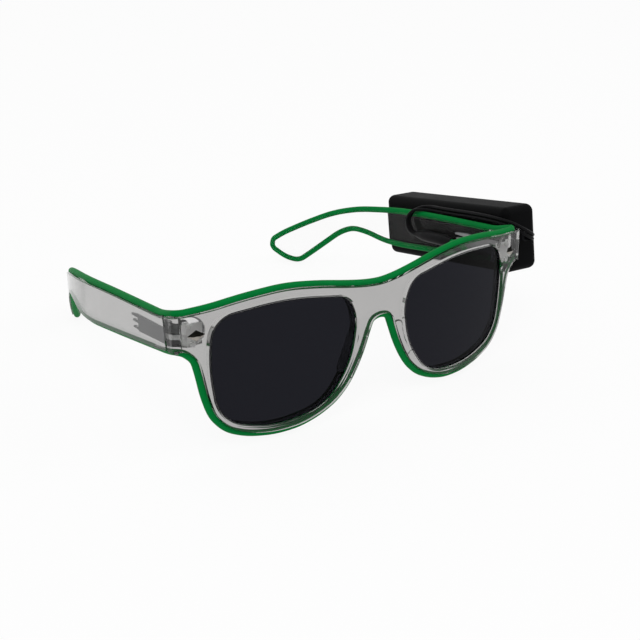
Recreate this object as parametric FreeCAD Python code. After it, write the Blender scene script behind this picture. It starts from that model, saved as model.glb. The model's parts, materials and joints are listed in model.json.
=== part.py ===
# Light up party glasses: a clear moulded front and two clear folding arms, dark lenses, a green light
# wire seated in a groove round the whole edge, and a battery and driver case outside the left arm.
# +X is the wearer's left, -Y is forward and +Z is up. The origin lies just under the bridge arch,
# in the middle of the front's thickness. All lengths are in millimetres and all angles in degrees.

import FreeCAD
import Part
import math
import os

os.makedirs("parts", exist_ok=True)
Vec = FreeCAD.Vector
X_AXIS = Vec(1, 0, 0)
Y_AXIS = Vec(0, 1, 0)
Z_AXIS = Vec(0, 0, 1)
ORIGIN = Vec(0, 0, 0)
LEFT = 1
RIGHT = -1

# Cuts run past the faces they open by this much
overrun = 3.0

# Front
front_drop = 29.35           # origin down to the light wire under a lens
front_curve = 300.0          # radius of the front seen from above
front_thickness = 4.4
end_piece_out = 2.2          # light wire out to the end piece's side face
end_piece_in = 2.1           # light wire in to the end piece's inner face
end_piece_corner = 2.0
corner_inset = 1.7            # light wire's corner: where it starts to turn back
corner_back = 1.1            # and where it has turned
corner_top = 16.0            # heights of the light wire's corners
corner_top_end = 15.8
corner_low = 3.3
corner_low_end = 3.75
hinge_back = 3.3             # light wire at the corner back to the hinge axis
joint_gap = 1.2              # between the end piece and the arm when the arm is straight
joint_top = 14.9             # heights of the light wire where it crosses the hinge
joint_low = 3.3
# Light wire's way over the brow, as shares of half_front and front_height, from the bridge outwards
brow_shares = [(0.0, 0.886), (0.092, 0.899), (0.197, 0.926), (0.338, 0.968), (0.507, 1.0),
               (0.704, 0.982), (0.859, 0.949)]
# Light wire's way over the bridge arch, down the nose, under the lens and up the outer rim
rim_shares = [(0.0, 0.650), (0.049, 0.632), (0.068, 0.562), (0.102, 0.428), (0.142, 0.310),
              (0.189, 0.206), (0.256, 0.114), (0.348, 0.047), (0.451, 0.006), (0.577, 0.0),
              (0.704, 0.033), (0.801, 0.093), (0.866, 0.203), (0.899, 0.356), (0.918, 0.511),
              (0.935, 0.618)]

# Light wire
wire_radius = 1.15
wire_fit = 0.05              # room round the light wire in its groove
wire_inset = 0.3             # plastic edge lies this far inside the light wire's middle line
flex_front = 0.9             # light wire's free stretch over a hinge, before and behind its axis
flex_arm = 9.2
cap_round = 0.25
cap_length = 1.8

# Lenses
lens_half_width = 25.5
lens_half_height = 20.5
bridge_width = 21.0          # between the half widths of the two lens openings
end_width = 9.5              # lens opening's half width out to the light wire over the end piece
rim_top = 4.15               # lens opening's half height up to the light wire at the brow
rim_low = 3.25               # and down to the light wire under the lens
lens_thickness = 1.9
lens_seat = 0.7              # depth of the seat in the rim
lens_fit = 0.1
lens_bevel = 0.7
# Corners of the lens opening round its middle, as shares of its half width and half height
lens_shares = [(0.0, 1.01), (0.957, 0.907), (1.02, 0.176), (0.925, -0.761), (0.235, -1.044),
               (-0.549, -0.922), (-0.925, -0.254), (-1.016, 0.415), (-0.878, 0.829)]

# Nose pads, moulded on the back of the front
pad_radius = 1.8
pad_top_out = 9.4
pad_top_height = -4.5
pad_low_out = 13.4
pad_low_height = -14.8
pad_back = 0.3               # pad's middle behind the front's back face

# Studs
stud_in = 4.6                # light wire in to the stud's middle
stud_height = 9.2
stud_half_width = 2.7
stud_half_height = 1.7
stud_rise = 0.8
stud_top_share = 0.45
stud_ridge = 0.05
stud_peg_radius = 0.8
stud_peg_length = 1.6
peg_fit = 0.05

# Hinges
hinge_in = 3.8               # light wire in to the hinge axis
knuckle_radius = 1.6
knuckle_bore = 0.8
knuckle_low = 4.5
knuckle_split_low = 6.7
knuckle_split_high = 8.5
knuckle_high = 11.7
knuckle_gap = 0.1
screw_radius = 0.75
screw_head_radius = 1.35
screw_head_height = 0.7
screw_slot_width = 0.4
screw_slot_depth = 0.35
boss_radius = 5.0
boss_in = 4.4                # light wire in to the boss's middle
boss_height = 9.4
foot_width = 5.2
foot_thickness = 0.8
anchor_radius = 0.7
anchor_length = 1.6
anchor_in = 1.3              # hinge axis in to the anchor pins
anchor_spacing = 5.6
# Arm leaf: lengths along the arm, from the hinge axis
arm_leaf_end = 22.8
arm_leaf_half = 2.35
arm_leaf_middle = 7.4        # height at the hinge
arm_fall = 0.13              # fall of the arm's hinge end for each unit of length
arm_leaf_sink = 1.0
web_gap = 0.15
# Prongs on the leaf's end: height above its middle, half height at the root, and length
prongs = [(2.5, 0.5, 4.6), (0.7, 0.5, 4.0), (-1.5, 0.5, 4.0)]
prong_tip_half = 0.2
leaf_fit = 0.05

# Arms, in the straight position: lengths run back from the hinge axis
arm_length = 138.0
arm_height = 44.85           # light wire at the hinge down to its lowest point round the tip
arm_thickness = 3.8
arm_tip_thickness = 3.0
arm_straight = 58.3          # length before the arm curves in behind the ear
arm_bend_radius = 158.0
left_arm_rest_angle = -5.6   # turn of each arm from straight, as it lies in the photo
right_arm_rest_angle = -5.35
# Light wire's way back along the top, round the tip and forward along the bottom, as shares of
# arm_length and of arm_height below joint_top
arm_top_shares = [(0.033, 0.031), (0.314, 0.131), (0.495, 0.208), (0.673, 0.314), (0.779, 0.420),
                  (0.885, 0.589), (0.960, 0.726), (0.999, 0.820)]
arm_bottom_shares = [(1.0, 0.908), (0.954, 0.989), (0.906, 1.0), (0.847, 0.848), (0.749, 0.601),
                     (0.695, 0.521), (0.633, 0.519), (0.553, 0.547), (0.469, 0.526),
                     (0.279, 0.424), (0.033, 0.287)]
wire_end_length = 23.3       # where the light wire's free end stops, behind the hinge axis

# Battery and driver case on the left arm. Its own axes: out from the arm, back and up
case_length = 77.5
case_height = 24.8
case_round = 3.0
case_wall = 1.3
case_pitch = 9.3             # fall towards the rear
case_start = 1.4             # front end, from the hinge axis
case_low = -3.6              # height of the front end's lower edge
pad_thickness = 0.7
foam_start = 11.0
foam_length = 48.0
foam_low = 7.0
foam_high = 16.5
cover_thickness = 2.0
bay_front = 25.5
partition = 1.3
door_gap = 0.15
door_lift = 0.1
lip_length = 1.1
lip_drop = 1.6
rail_width = 1.0
rail_gap = 0.2
rail_start = 1.8
grip_count = 4
grip_pitch = 2.6
grip_width = 1.2
grip_depth = 0.5
grip_margin = 7.0
cell_rise = 0.3              # under the cell
cell_room = 0.4              # between a cell and the case's side wall
cell_gap = 0.6               # between the two cells
cell_headroom = 1.2          # over a cell, under the door's face
nub_radius = 1.9
nub_length = 0.8
contact_thickness = 0.4
contact_width = 7.0
bow_width = 4.0
bow_thickness = 0.35
bow_half = 3.6
bow_room = 5.4               # sprung contact's reach from its plate to the cell's flat end
board_thickness = 1.0
board_depth = 8.2            # cover's underside down to the board's inner face
board_start = 2.0
board_length = 21.0
board_width = 11.6
post_radius = 1.4
post_inset = 3.0
screw_post_radius = 2.1
screw_post_start = 4.0
screw_post_half_spacing = 8.3
case_screw_radius = 0.7
case_screw_length = 7.0
case_screw_head_radius = 1.5
case_screw_head_height = 0.9
button_start = 8.5
button_radius = 2.9
button_flange_radius = 3.8
button_flange_height = 0.9
button_flange_gap = 0.25
button_rise = 0.8
button_round = 0.6
button_fit = 0.2
switch_half = 3.0
switch_height = 3.4
switch_stem_radius = 1.7
switch_stem_height = 1.7
coil_start = 13.0
coil_length = 6.8
coil_height = 6.0
coil_rise = 6.0
coil_core_wall = 1.4
coil_winding_radius = 2.6
coil_offset = -2.4
capacitor_radius = 2.0
capacitor_height = 5.6
capacitor_start = 16.0
capacitor_offset = 3.7
chip_length = 4.0
chip_width = 3.4
chip_height = 1.3
chip_start = 8.0

# Leads: two strands from the case's front end, over the arm and into the shrink sleeve
lead_radius = 0.65
lead_half_spacing = 0.74
lead_depth = 3.6             # cover's underside down to the leads' way out of the case's front end
lead_up = 13.0
lead_exit = 4.0              # straight run out of the grommet, and into the sleeve
grommet_radius = 1.9
grommet_fit = 0.05
# Route of the leads: length behind the hinge axis, outwards from the arm's middle, height, and
# how far the upper strand has turned from above the lower one to outside it
lead_route = [
    (-3.4, 9.4, 11.2, 0),
    (-3.6, 5.9, 13.5, 0),
    (-0.8, 3.6, 15.4, 0),
    (3.6, 2.1, 16.4, 0),
    (10.5, 1.8, 16.4, 0),
    (21.5, 1.8, 14.8, 0),
    (33.0, 1.85, 12.8, 0),
    (42.0, 1.8, 11.6, 0),
    (48.6, 1.8, 10.9, 20),
    (53.6, 0.4, 10.4, 50),
    (57.0, -2.4, 9.3, 80),
    (58.5, -4.2, 5.9, 90),
    (57.0, -4.4, 1.9, 90),
]
sleeve_radius = 2.2
sleeve_end_radius = 1.45
sleeve_taper = 5.0
sleeve_rear = (48.8, -4.15, 0.85)
sleeve_front = (27.0, -4.15, 3.3)
# Light wire from the sleeve's front end down into the arm's lower groove
tail_route = [
    (23.2, -4.15, 3.73),
    (19.2, -3.4, 1.1),
    (15.8, -1.4, -0.3),
]
tail_join = 12.4             # where the light wire lies down in the groove, behind the hinge axis

# Places worked out from the sizes above
lens_centre = bridge_width / 2 + lens_half_width
lens_middle = rim_low + lens_half_height - front_drop
half_front = lens_centre + lens_half_width + end_width
front_height = lens_half_height * 2 + rim_top + rim_low
stud_out = half_front - stud_in
boss_out = half_front - boss_in
hinge_x = half_front - hinge_in


def front_back(x, depth=0.0):
    """Y of the front at x, with depth measured back from the middle of its thickness"""
    radius = front_curve - depth
    return front_curve - math.sqrt(radius * radius - x * x)


corner_y = front_back(half_front)
joint_y = corner_y + hinge_back
arm_bend_x = half_front - arm_bend_radius
arm_bend_y = joint_y + arm_straight
case_inner_x = half_front + arm_thickness / 2 + pad_thickness
cell_radius = (case_height / 2 - case_wall - cell_room - cell_gap / 2) / 2
cell_half_spacing = cell_radius + cell_gap / 2
cover_level = case_wall + cell_rise + cell_radius * 2 + cell_headroom
case_depth = cover_level + cover_thickness
board_level = cover_level - board_depth
lead_out = cover_level - lead_depth


# Paths, tubes and outlines

def rounded_edges(points, closed=False, trims=(0.0, 0.0), share=0.45):
    """Straight runs through points, joined by tangent arcs that use share of the shorter run"""
    count = len(points)
    starts = list(points)
    ends = list(points)
    arcs = [None] * count
    for i in range(count):
        if not closed and i in (0, count - 1):
            continue
        before = points[i - 1] - points[i]
        after = points[(i + 1) % count] - points[i]
        reach = share * min(before.Length, after.Length)
        before.normalize()
        after.normalize()
        starts[i] = points[i] + before * reach
        ends[i] = points[i] + after * reach
        middle = before + after
        middle.normalize()
        half_angle = before.getAngle(after) / 2
        radius = reach * math.tan(half_angle)
        inward = radius / math.sin(half_angle) - radius
        arcs[i] = (starts[i], points[i] + middle * inward, ends[i])
    if not closed:
        ends[0] = toward(points[0], points[1], trims[0])
        starts[-1] = toward(points[-1], points[-2], trims[1])
    edges = []
    for i in range(count):
        if arcs[i]:
            edges.append(Part.Arc(*arcs[i]).toShape())
        following = (i + 1) % count
        if following or closed:
            edges.append(Part.makeLine(ends[i], starts[following]))
    return edges


def least_radius(points, share=0.45):
    """Smallest arc that rounded_edges puts on a way through points"""
    radii = []
    for before, here, after in zip(points, points[1:], points[2:]):
        back = before - here
        ahead = after - here
        reach = share * min(back.Length, ahead.Length)
        radii.append(reach * math.tan(back.getAngle(ahead) / 2))
    return min(radii)


def toward(start, end, length):
    step = end - start
    step.normalize()
    return start + step * length


def tube(points, radius, trims=(0.0, 0.0)):
    """Round solid along straight runs and tangent arcs, cut short at its ends by trims"""
    path = Part.Wire(rounded_edges(points, trims=trims))
    start = toward(points[0], points[1], trims[0])
    ring = Part.makeCircle(radius, start, points[1] - points[0])
    return path.makePipeShell([Part.Wire(ring)], True, False)


def groove(points):
    """Seat of the light wire along a way, open at both ends"""
    ends = []
    for end, before in ((points[0], points[1]), (points[-1], points[-2])):
        ends.append(rod(wire_radius + wire_fit, overrun, end, end - before))
    return tube(points, wire_radius + wire_fit).fuse(ends)


def front_face(points, inset=0.0):
    """Flat face in the front view, from rounded corners, drawn in by inset"""
    wire = Part.Wire(Part.sortEdges(rounded_edges(points, closed=True))[0])
    if inset:
        wire = wire.makeOffset2D(-inset)
    return Part.Face(wire)


def block(x0, x1, y0, y1, z0, z1):
    return Part.makeBox(x1 - x0, y1 - y0, z1 - z0, Vec(x0, y0, z0))


def rod(radius, length, base, direction):
    return Part.makeCylinder(radius, length, base, direction)


def mirrored(shape):
    return shape.mirror(ORIGIN, X_AXIS)


def both_sides(shape):
    return shape.fuse(mirrored(shape))


def save(name, shape):
    shape = shape.removeSplitter() if shape.ShapeType != "Compound" else shape
    if not shape.isValid():
        print("not valid:", name)
    shape.exportStep("parts/%s.step" % name)
    print("%-28s %9.1f mm3  solids %d  faces %d" % (name, shape.Volume, len(shape.Solids),
                                                    len(shape.Faces)))


# Light wire's way round the front

def on_front(x, height):
    return Vec(x, front_back(x), height)


def joint_face(step, height):
    """Y of the end piece's rear face (step -1), the arm's front face (step 1) or midway (step 0)"""
    return joint_y + step * joint_gap / 2 + arm_fall * (height - arm_leaf_middle)


def joint_point(height):
    return Vec(half_front, joint_face(0, height), height)


def outline_half(shares):
    return [on_front(x * half_front, z * front_height - front_drop) for x, z in shares]


def across(half):
    """A way from the right side to the left one, mirrored about the middle"""
    other = [Vec(-p.x, p.y, p.z) for p in half[::-1]]
    return other[:-1] + half


def corner(height, end_height):
    """The two corners that turn the light wire back over the end piece"""
    return [on_front(half_front - corner_inset, height), Vec(half_front, corner_y + corner_back, end_height)]


def brow_half():
    return outline_half(brow_shares) + corner(corner_top, corner_top_end)


def rim_half():
    return outline_half(rim_shares) + corner(corner_low, corner_low_end)


def brow_wire_points():
    return across(brow_half() + [joint_point(joint_top)])


def rim_wire_points():
    return across(rim_half() + [joint_point(joint_low)])


flex_trims = (flex_front, flex_front)


def ring_between(inner, outer):
    """Curved slab that follows the front, between two depths before and behind its middle"""
    base = Vec(0, front_curve, -front_drop - overrun)
    tall = front_height + overrun + overrun
    big = rod(front_curve + outer, tall, base, Z_AXIS)
    return big.cut(rod(front_curve - inner, tall, base, Z_AXIS))


def lens_outline():
    return [Vec(lens_centre + x * lens_half_width, 0, lens_middle + z * lens_half_height)
            for x, z in lens_shares]


def through_front(face, behind):
    """Prism of a front view face from before the front to behind it"""
    face = face.copy()
    face.translate(Vec(0, -front_thickness - overrun, 0))
    return face.extrude(Vec(0, front_thickness + overrun + behind, 0))


# Front frame

def front_plan():
    """Plan of the front and its end pieces, as a tall prism"""
    side = half_front + end_piece_out
    inner = half_front - end_piece_in
    end = joint_y + overrun
    half = front_thickness / 2
    face_y = front_back(side, -half)
    back_y = front_back(inner, half)
    edges = [
        Part.Arc(Vec(-side, face_y, 0), Vec(0, -half, 0), Vec(side, face_y, 0)).toShape(),
        Part.makeLine(Vec(side, face_y, 0), Vec(side, end, 0)),
        Part.makeLine(Vec(side, end, 0), Vec(inner, end, 0)),
        Part.makeLine(Vec(inner, end, 0), Vec(inner, back_y, 0)),
        Part.Arc(Vec(inner, back_y, 0), Vec(0, half, 0), Vec(-inner, back_y, 0)).toShape(),
        Part.makeLine(Vec(-inner, back_y, 0), Vec(-inner, end, 0)),
        Part.makeLine(Vec(-inner, end, 0), Vec(-side, end, 0)),
        Part.makeLine(Vec(-side, end, 0), Vec(-side, face_y, 0)),
    ]
    plan = Part.Face(Part.Wire(edges))
    plan.translate(Vec(0, 0, -front_drop - overrun))
    prism = plan.extrude(Vec(0, 0, front_height + overrun + overrun))
    corners = [edge for edge in prism.Edges
               if all(abs(abs(v.X) - side) < wire_fit and abs(v.Y - face_y) < wire_fit
                      for v in edge.Vertexes)]
    return prism.makeFillet(end_piece_corner, corners)


def front_view():
    brow = brow_half()
    rim = rim_half()
    outline = [Vec(p.x, 0, p.z) for p in across(brow) + across(rim)[::-1]]
    face = front_face(outline, wire_inset)
    prism = through_front(face, corner_y + front_thickness / 2)
    return prism


def end_piece_view():
    """Side view of the left end piece, as a prism across its width"""
    brow_z = corner_top_end - wire_inset
    front = corner_y - front_thickness - overrun
    low_z = corner_low_end + wire_inset
    back = corner_y + corner_back
    high = joint_top - wire_inset
    low = joint_low + wire_inset
    points = [Vec(0, front, brow_z), Vec(0, back, brow_z), Vec(0, joint_face(-1, high), high),
              Vec(0, joint_face(-1, low), low), Vec(0, back, low_z), Vec(0, front, low_z)]
    face = Part.Face(Part.makePolygon(points + points[:1]))
    face.translate(Vec(half_front - end_piece_in, 0, 0))
    return face.extrude(Vec(end_piece_in + end_piece_out + overrun, 0, 0))


def nose_pad():
    top = Vec(pad_top_out, front_back(pad_top_out, front_thickness / 2) + pad_back, pad_top_height)
    low = Vec(pad_low_out, front_back(pad_low_out, front_thickness / 2) + pad_back, pad_low_height)
    run = low - top
    pad = rod(pad_radius, run.Length, top, run)
    return pad.fuse([Part.makeSphere(pad_radius, top), Part.makeSphere(pad_radius, low)])


boss_back = joint_y - knuckle_radius - knuckle_gap


def hinge_boss():
    start = front_back(boss_out - boss_radius)
    return rod(boss_radius, boss_back - start, Vec(boss_out, start, boss_height), Y_AXIS)


def anchor_places():
    middle = (knuckle_low + knuckle_high) / 2
    return [Vec(hinge_x - anchor_in, boss_back + foot_thickness, middle + step * anchor_spacing / 2)
            for step in (-1, 1)]


def stud_place():
    return Vec(stud_out, front_back(stud_out, -front_thickness / 2), stud_height)


def stud_direction():
    """Outward normal of the front at the stud"""
    normal = Vec(stud_out, front_back(stud_out) - front_curve, 0)
    normal.normalize()
    return normal


def bevelled(frame):
    """Bevels the front edge of each lens opening"""
    outline = front_face(lens_outline()).OuterWire
    edges = []
    for edge in frame.Edges:
        middle = edge.valueAt((edge.FirstParameter + edge.LastParameter) / 2)
        depth = front_curve - math.hypot(middle.x, middle.y - front_curve)
        flat = Part.Vertex(abs(middle.x), 0, middle.z)
        if depth < wire_fit - front_thickness / 2 and outline.distToShape(flat)[0] < wire_fit:
            edges.append(edge)
    return frame.makeChamfer(lens_bevel, edges)


def front_frame():
    side = end_piece_view()
    frame = front_plan().common(front_view().fuse([side, mirrored(side)]))
    frame = frame.fuse([both_sides(nose_pad()), both_sides(hinge_boss())])
    opening = front_face(lens_outline())
    deep = corner_y + front_thickness + overrun
    frame = frame.cut(both_sides(through_front(opening, deep)))
    frame = bevelled(frame)
    seat = through_front(front_face(lens_outline(), -lens_seat), deep)
    seat_depth = lens_thickness / 2 + lens_fit
    frame = frame.cut(both_sides(seat.common(ring_between(seat_depth, seat_depth))))
    frame = frame.cut(groove(brow_wire_points()))
    frame = frame.cut(groove(rim_wire_points()))
    holes = [rod(stud_peg_radius + peg_fit, stud_peg_length + peg_fit, stud_place(), -stud_direction())]
    for place in anchor_places():
        holes.append(rod(anchor_radius + peg_fit, foot_thickness + anchor_length + peg_fit, place, -Y_AXIS))
    for hole in holes:
        frame = frame.cut(both_sides(hole))
    return frame


def lens():
    seat = through_front(front_face(lens_outline(), lens_fit - lens_seat),
                         corner_y + front_thickness + overrun)
    return seat.common(ring_between(lens_thickness / 2, lens_thickness / 2))


def stud():
    """Lozenge with a ridge along it, on a peg"""
    place = stud_place()
    normal = stud_direction()
    along = Z_AXIS.cross(normal)
    along.normalize()

    def lozenge(rise, share_x, share_z):
        corners = [along * (stud_half_width * share_x), Z_AXIS * (stud_half_height * share_z),
                   along * (-stud_half_width * share_x), Z_AXIS * (-stud_half_height * share_z)]
        corners = [place + normal * rise + corner for corner in corners]
        return Part.makePolygon(corners + corners[:1])

    body = Part.makeLoft([lozenge(0, 1, 1), lozenge(stud_rise, stud_top_share, stud_ridge)], True, True)
    return body.fuse(rod(stud_peg_radius, stud_peg_length, place, -normal))


# Hinges, on the left side

def hinge_line(height):
    return Vec(hinge_x, joint_y, height)


def knuckle(low, high):
    return rod(knuckle_radius, high - low, hinge_line(low), Z_AXIS)


def frame_hinge():
    """Foot on the front's back, with two pins into it, and two knuckles"""
    foot = block(hinge_x - foot_width, hinge_x, boss_back, boss_back + foot_thickness,
                 knuckle_low, knuckle_high)
    room = rod(knuckle_radius + knuckle_gap, knuckle_split_high - knuckle_split_low,
               hinge_line(knuckle_split_low), Z_AXIS)
    hinge = foot.cut(room)
    for low, high in ((knuckle_low, knuckle_split_low), (knuckle_split_high, knuckle_high)):
        hinge = hinge.fuse(knuckle(low, high))
    for place in anchor_places():
        hinge = hinge.fuse(rod(anchor_radius, foot_thickness + anchor_length, place, -Y_AXIS))
    bore = rod(knuckle_bore, knuckle_high - knuckle_low + overrun + overrun,
               hinge_line(knuckle_low - overrun), Z_AXIS)
    return hinge.cut(bore)


def hinge_screw():
    shank = rod(screw_radius, knuckle_high - knuckle_low, hinge_line(knuckle_low), Z_AXIS)
    head = rod(screw_head_radius, screw_head_height, hinge_line(knuckle_high), Z_AXIS)
    top = knuckle_high + screw_head_height
    slot = block(hinge_x - screw_head_radius, hinge_x + screw_head_radius,
                 joint_y - screw_slot_width / 2, joint_y + screw_slot_width / 2,
                 top - screw_slot_depth, top + overrun)
    return shank.fuse(head).cut(slot)


def arm_leaf_outline(room):
    """Side view of the arm's hinge leaf with its two barbed prongs, grown by room"""
    start = joint_gap / 2 + leaf_fit
    end = arm_leaf_end + room

    def at(length, offset):
        return Vec(0, joint_y + length + arm_fall * offset, arm_leaf_middle - arm_fall * length + offset)

    half = arm_leaf_half + room
    points = [at(start, half)]
    for offset, root, length in prongs:
        points += [at(end, offset + root + room), at(end + length, offset + prong_tip_half + room),
                   at(end + length, offset - prong_tip_half - room), at(end, offset - root - room)]
    points += [at(end, -half), at(start, -half)]
    return Part.Face(Part.makePolygon(points + points[:1]))


def arm_leaf_prism(room):
    face = arm_leaf_outline(room)
    inner = half_front - arm_thickness / 2
    face.translate(Vec(inner - peg_fit, 0, 0))
    return face.extrude(Vec(arm_leaf_sink + room + peg_fit, 0, 0))


def arm_hinge():
    low = knuckle_split_low + knuckle_gap
    high = knuckle_split_high - knuckle_gap
    web = block(hinge_x, half_front - arm_thickness / 2, joint_y + web_gap, joint_y + knuckle_radius,
                low, high)
    hinge = arm_leaf_prism(0).fuse([web, knuckle(low, high)])
    bore = rod(knuckle_bore, high - low + overrun + overrun, hinge_line(low - overrun), Z_AXIS)
    return hinge.cut(bore)


# Arms, built straight on the left side and then turned to rest

def arm_shift(length):
    """How far the arm has curved inwards at a length behind the hinge"""
    beyond = max(length - arm_straight, 0)
    return arm_bend_radius - math.sqrt(arm_bend_radius ** 2 - beyond ** 2)


def on_arm(length, out, height):
    return Vec(half_front - arm_shift(length) + out, joint_y + length, height)


def seat_turn(side):
    """Turn to rest of the straight arm, as it is built on the left side"""
    return left_arm_rest_angle if side == LEFT else -right_arm_rest_angle


def seated(shape, side):
    """A piece of the straight arm, turned to rest and brought to its side"""
    turned = shape.copy()
    turned.Placement = rest_placement(side).multiply(turned.Placement)
    return turned if side == LEFT else mirrored(turned)


def arm_view_points(shares):
    return [on_arm(y * arm_length, 0, joint_top - z * arm_height) for y, z in shares]


def arm_plan():
    """Plan of the arm, as a tall prism that thins towards the tip"""
    start = joint_y - overrun
    centre = Vec(arm_bend_x, arm_bend_y, 0)
    sweep = math.asin((arm_length + overrun - arm_straight) / arm_bend_radius)

    def bend(side):
        points = []
        for share in (0, 0.5, 1):
            half = arm_thickness / 2 + (arm_tip_thickness - arm_thickness) / 2 * share
            turn = Vec(math.cos(sweep * share), math.sin(sweep * share), 0)
            points.append(centre + turn * (arm_bend_radius + side * half))
        return points

    outer = bend(1)
    inner = bend(-1)
    edges = [Part.makeLine(Vec(inner[0].x, start, 0), Vec(outer[0].x, start, 0)),
             Part.makeLine(Vec(outer[0].x, start, 0), outer[0]), Part.Arc(*outer).toShape(),
             Part.makeLine(outer[-1], inner[-1]), Part.Arc(*inner[::-1]).toShape(),
             Part.makeLine(inner[0], Vec(inner[0].x, start, 0))]
    plan = Part.Face(Part.Wire(edges))
    plan.translate(Vec(0, 0, joint_top - arm_height - overrun))
    return plan.extrude(Vec(0, 0, arm_height + overrun + overrun))


def arm_view():
    top = Vec(0, joint_face(1, joint_top) - wire_inset, joint_top)
    low = Vec(0, joint_face(1, joint_low) - wire_inset, joint_low)
    points = [top] + [Vec(0, p.y, p.z) for p in arm_view_points(arm_top_shares + arm_bottom_shares)] + [low]
    edges = rounded_edges(points) + [Part.makeLine(low, top)]
    wire = Part.Wire(Part.sortEdges(edges)[0]).makeOffset2D(-wire_inset)
    face = Part.Face(wire)
    face.translate(Vec(half_front - arm_bend_radius, 0, 0))
    return face.extrude(Vec(arm_bend_radius + arm_thickness + overrun, 0, 0))


def arm_wire_points():
    """Light wire from over the hinge, round the arm and back under the hinge"""
    return arm_view_points(arm_top_shares + arm_bottom_shares)


def rest_placement(side):
    return FreeCAD.Placement(ORIGIN, FreeCAD.Rotation(Z_AXIS, seat_turn(side)), hinge_line(0))


def arm_groove(side):
    """Seat of the light wire in the straight arm, towards its crossings when the arm is at rest"""
    back = rest_placement(side).inverse()
    ends = [back.multVec(joint_point(height)) for height in (joint_top, joint_low)]
    return groove(ends[:1] + arm_wire_points() + ends[1:])


def arm(side):
    shape = arm_plan().common(arm_view()).cut(arm_groove(side))
    shape = shape.cut(arm_leaf_prism(leaf_fit))
    if side == LEFT:
        shape = shape.cut(tube(tail_points(), wire_radius + wire_fit))
    return shape


def on_lower_edge(length):
    """Point of the light wire's way under the hinge end of the arm"""
    points = arm_wire_points()
    run = points[-1] - points[-2]
    return points[-1] + run * ((length - points[-1].y + joint_y) / run.y)


def arm_wire(side):
    points = arm_wire_points()
    first = on_arm(flex_arm, 0, 0).y - points[0].y
    top_trim = first / (points[1] - points[0]).normalize().y
    low_end = wire_end_length if side == LEFT else flex_arm
    low_trim = (on_lower_edge(low_end) - points[-1]).Length
    return tube(points, wire_radius, (top_trim, low_trim))


def wire_cap():
    end = on_lower_edge(wire_end_length)
    cap = rod(wire_radius, cap_length, end, on_lower_edge(0) - end)
    return cap.makeFillet(cap_round, [cap.Edges[0]])


def tail_points():
    way = [on_arm(*sleeve_front)] + [on_arm(*place) for place in tail_route]
    return way + [on_lower_edge(tail_join), on_lower_edge(flex_arm)]


def flex(side, top):
    """Free stretch of light wire over a hinge"""
    turn = rest_placement(side)
    if top:
        joint = joint_point(joint_top)
        start = toward(joint, brow_half()[-1], flex_front)
        near, far = arm_wire_points()[:2]
        end = near + (far - near) * ((joint_y + flex_arm - near.y) / (far.y - near.y))
    else:
        joint = joint_point(joint_low)
        start = toward(joint, rim_half()[-1], flex_front)
        near = arm_wire_points()[-1]
        end = on_lower_edge(flex_arm)
    shape = tube([start, joint, turn.multVec(near), turn.multVec(end)], wire_radius)
    return shape if side == LEFT else mirrored(shape)


# Battery and driver case, in its own axes: X out from the arm, Y back, Z up

def case_place():
    pitch = FreeCAD.Placement(ORIGIN, FreeCAD.Rotation(X_AXIS, -case_pitch))
    shift = FreeCAD.Placement(Vec(case_inner_x, joint_y + case_start, case_low), FreeCAD.Rotation())
    return shift.multiply(pitch)


def case_seated(shape):
    placed = shape.copy()
    placed.Placement = case_place().multiply(placed.Placement)
    return seated(placed, LEFT)


def case_outside():
    shape = block(0, case_depth, 0, case_length, 0, case_height)
    return shape.makeFillet(case_round, shape.Edges)


case_middle = case_height / 2


def case_slice(x0, x1, y0, y1):
    return case_outside().common(block(x0, x1, y0, y1, -overrun, case_height + overrun))


def screw_post_places():
    return [Vec(0, screw_post_start, case_middle + step * screw_post_half_spacing) for step in (-1, 1)]


def battery_case():
    shell = case_slice(-overrun, cover_level, -overrun, case_length + overrun)
    inside_low = case_wall
    inside_high = case_height - case_wall
    bay = block(case_wall, case_depth, bay_front, case_length - case_wall, inside_low, inside_high)
    driver = block(case_wall, case_depth, case_wall, bay_front - partition, inside_low, inside_high)
    notch = block(cover_level - lip_drop, case_depth, bay_front, case_length + overrun,
                  inside_low, inside_high)
    shell = shell.cut([bay, driver, notch])
    posts = []
    for place in screw_post_places():
        posts.append(rod(screw_post_radius, cover_level - case_wall, place + X_AXIS * case_wall, X_AXIS))
    for y in (board_start + post_inset, board_start + board_length - post_inset):
        posts.append(rod(post_radius, board_level - case_wall, Vec(case_wall, y, case_middle), X_AXIS))
    shell = shell.fuse(posts)
    for place in screw_post_places():
        depth = case_screw_length + overrun
        shell = shell.cut(rod(case_screw_radius, depth, place + X_AXIS * (cover_level - depth), X_AXIS))
    hole = rod(grommet_radius + grommet_fit, case_wall + overrun + overrun,
               Vec(lead_out, -overrun, lead_up), Y_AXIS)
    return shell.cut(hole)


def case_cover():
    cover = case_slice(cover_level, case_depth + overrun, -overrun, bay_front - door_gap)
    middle = Vec(cover_level - overrun, button_start, case_middle)
    cover = cover.cut(rod(button_radius + button_fit, cover_thickness + overrun + overrun, middle, X_AXIS))
    for place in screw_post_places():
        top = place + X_AXIS * case_depth
        cover = cover.cut(rod(case_screw_head_radius + button_fit, case_screw_head_height, top, -X_AXIS))
        cover = cover.cut(rod(case_screw_radius + peg_fit, cover_thickness + overrun, top, -X_AXIS))
    return cover


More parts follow.
